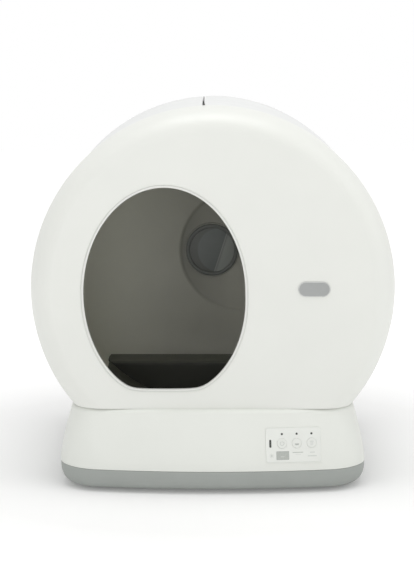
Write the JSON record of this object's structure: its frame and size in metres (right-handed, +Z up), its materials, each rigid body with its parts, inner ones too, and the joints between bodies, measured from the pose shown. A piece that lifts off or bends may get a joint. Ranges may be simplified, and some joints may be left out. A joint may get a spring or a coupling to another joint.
{
  "type": "self-cleaning litter box",
  "caption": "Self-cleaning litter box: a round fixed front with an oval entrance hides a slowly turning drum that sifts waste into a sliding drawer in the low base.",
  "frame": {"origin": "on the floor, in the middle of the footprint", "axes": "+Z up, the entrance faces -Y, +X to the right seen from the front"},
  "size_m": [0.53, 0.52, 0.555],
  "materials": {
    "white_shell": "satin moulded",
    "grey_pan": "satin moulded",
    "grey_drum": "smooth moulded",
    "black_liner": "soft moulded",
    "dark_plastic": "fine texture",
    "rubber": "matt",
    "felt": "felted",
    "lens": "polished tinted",
    "badge_grey": "printed",
    "acetal": "moulded",
    "steel": "bright",
    "aluminium": "brushed",
    "circuit_board": "solder mask",
    "carbon": "bonded carbon"
  },
  "bodies": {
    "base": {"axle_front_left": "steel", "axle_front_right": "steel", "axle_rear_left": "steel", "axle_rear_right": "steel", "badge_plate": "badge_grey", "base_housing": "white_shell", "base_pan": "grey_pan", "bracket_front_left": "dark_plastic", "bracket_front_right": "dark_plastic", "bracket_rear_left": "dark_plastic", "bracket_rear_right": "dark_plastic", "control_board": "circuit_board", "drive_motor": "steel", "drum_seal": "felt", "entrance_ring": "white_shell", "foot_front_left": "rubber", "foot_front_right": "rubber", "foot_rear_left": "rubber", "foot_rear_right": "rubber", "front_cover": "white_shell", "gearbox": "dark_plastic", "hub_spindle": "dark_plastic", "indicator_window": "lens", "light_guide": "lens", "load_cell_front_left": "aluminium", "load_cell_front_right": "aluminium", "load_cell_rear_left": "aluminium", "load_cell_rear_right": "aluminium", "motor_bracket": "steel", "odour_filter": "carbon", "panel_plate": "white_shell", "power_inlet": "dark_plastic", "rail_front": "dark_plastic", "rail_rear": "dark_plastic", "rear_frame": "aluminium", "seam_strip": "rubber", "sensor_board": "circuit_board", "sensor_window": "lens", "shell_left": "white_shell", "shell_right": "white_shell", "supply_board": "circuit_board"},
    "drum_body": {"drum": "grey_drum", "sieve_grille": "grey_drum", "litter_liner": "black_liner", "ring_gear": "acetal", "hub_bush": "dark_plastic"},
    "pinion_body": {"drive_pinion": "acetal", "pinion_shaft": "steel"},
    "drawer_body": {"drawer_tray": "dark_plastic", "drawer_front": "white_shell"},
    "roller_front_left_body": {"roller_front_left": "rubber"},
    "roller_rear_left_body": {"roller_rear_left": "rubber"},
    "roller_front_right_body": {"roller_front_right": "rubber"},
    "roller_rear_right_body": {"roller_rear_right": "rubber"},
    "button_power_body": {"button_power": "white_shell"},
    "button_clean_body": {"button_clean": "white_shell"},
    "button_empty_body": {"button_empty": "white_shell"}
  },
  "joints": [
    {"name": "drum_spin", "type": "hinge", "parent": "base", "child": "drum_body", "pos_m": [0, 0, 0.294], "axis": [0, 1, 0], "continuous": true},
    {"name": "pinion_spin", "type": "hinge", "parent": "base", "child": "pinion_body", "pos_m": [-0.1648, 0.119, 0.06716], "axis": [0, 1, 0], "continuous": true},
    {"name": "roller_front_left_spin", "type": "hinge", "parent": "base", "child": "roller_front_left_body", "pos_m": [-0.1269, -0.168, 0.0742], "axis": [0, 1, 0], "continuous": true},
    {"name": "roller_rear_left_spin", "type": "hinge", "parent": "base", "child": "roller_rear_left_body", "pos_m": [-0.1269, 0.095, 0.0742], "axis": [0, 1, 0], "continuous": true},
    {"name": "roller_front_right_spin", "type": "hinge", "parent": "base", "child": "roller_front_right_body", "pos_m": [0.1269, -0.168, 0.0742], "axis": [0, 1, 0], "continuous": true},
    {"name": "roller_rear_right_spin", "type": "hinge", "parent": "base", "child": "roller_rear_right_body", "pos_m": [0.1269, 0.095, 0.0742], "axis": [0, 1, 0], "continuous": true},
    {"name": "drawer_slide", "type": "slide", "parent": "base", "child": "drawer_body", "axis": [1, 0, 0], "range_m": [0, 0.19]},
    {"name": "button_power_press", "type": "slide", "parent": "base", "child": "button_power_body", "axis": [-0.1102, 0.9718, -0.2087], "range_m": [0, 0.001], "stiffness_N_per_m": 400},
    {"name": "button_clean_press", "type": "slide", "parent": "base", "child": "button_clean_body", "axis": [-0.1102, 0.9718, -0.2087], "range_m": [0, 0.001], "stiffness_N_per_m": 400},
    {"name": "button_empty_press", "type": "slide", "parent": "base", "child": "button_empty_body", "axis": [-0.1102, 0.9718, -0.2087], "range_m": [0, 0.001], "stiffness_N_per_m": 400}
  ],
  "couplings": [
    {"joint": "pinion_spin", "follows": "drum_spin", "ratio": -8},
    {"joint": "roller_front_left_spin", "follows": "drum_spin", "ratio": -18.5},
    {"joint": "roller_rear_left_spin", "follows": "drum_spin", "ratio": -18.5},
    {"joint": "roller_front_right_spin", "follows": "drum_spin", "ratio": -18.5},
    {"joint": "roller_rear_right_spin", "follows": "drum_spin", "ratio": -18.5}
  ]
}
